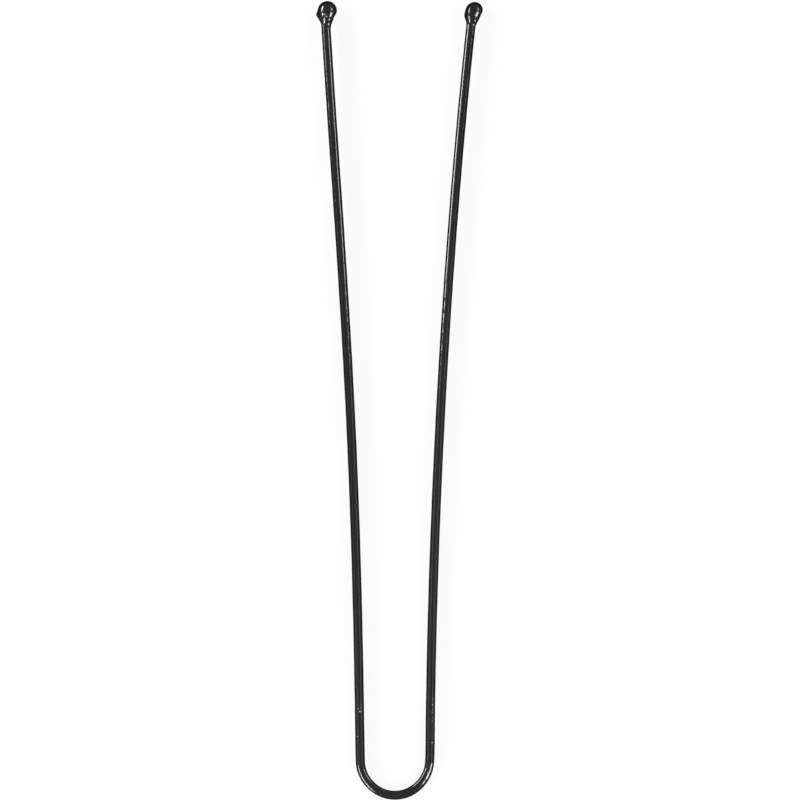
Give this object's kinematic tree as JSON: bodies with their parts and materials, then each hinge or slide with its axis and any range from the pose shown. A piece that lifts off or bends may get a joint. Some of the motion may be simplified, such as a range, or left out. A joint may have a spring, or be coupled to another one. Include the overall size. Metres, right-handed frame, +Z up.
{
  "type": "hairpin",
  "caption": "Open U-shaped hairpin of lacquered spring wire, with outward-bowed legs that flex and a drop of resin on each tip.",
  "frame": {"origin": "on the table, under the middle of the pin's box", "axes": "the pin lies flat: +Y from the bend towards the tips, +X towards the right leg, +Z up off the table"},
  "size_m": [0.0158, 0.076, 0.0018],
  "materials": {
    "steel_wire": "cold-drawn, satin, hidden under the lacquer",
    "black_lacquer": "baked black lacquer, satin to gloss, with faint drawing lines and small runs",
    "black_resin": "dipped black resin, glossy, lumpy where it ran"
  },
  "bodies": {
    "bend": {"bend_wire": "steel_wire", "bend_lacquer": "black_lacquer"},
    "left_leg": {"left_leg_wire": "steel_wire", "left_leg_lacquer": "black_lacquer", "left_ball_tip": "black_resin"},
    "right_leg": {"right_leg_wire": "steel_wire", "right_leg_lacquer": "black_lacquer", "right_ball_tip": "black_resin"}
  },
  "joints": [
    {"name": "left_leg_flex", "type": "hinge", "parent": "bend", "child": "left_leg", "pos_m": [-0.0037, -0.03433, 0.00048], "axis": [-0.005, 0.0059, -1], "range_deg": [-10, 4.8], "stiffness_Nm_per_rad": 0.139, "deforming": ["bend_wire", "bend_lacquer"]},
    {"name": "right_leg_flex", "type": "hinge", "parent": "bend", "child": "right_leg", "pos_m": [0.00286, -0.03432, 0.00045], "axis": [0.005, -0.0059, 1], "range_deg": [-10, 4.8], "stiffness_Nm_per_rad": 0.139, "deforming": ["bend_wire", "bend_lacquer"]}
  ]
}
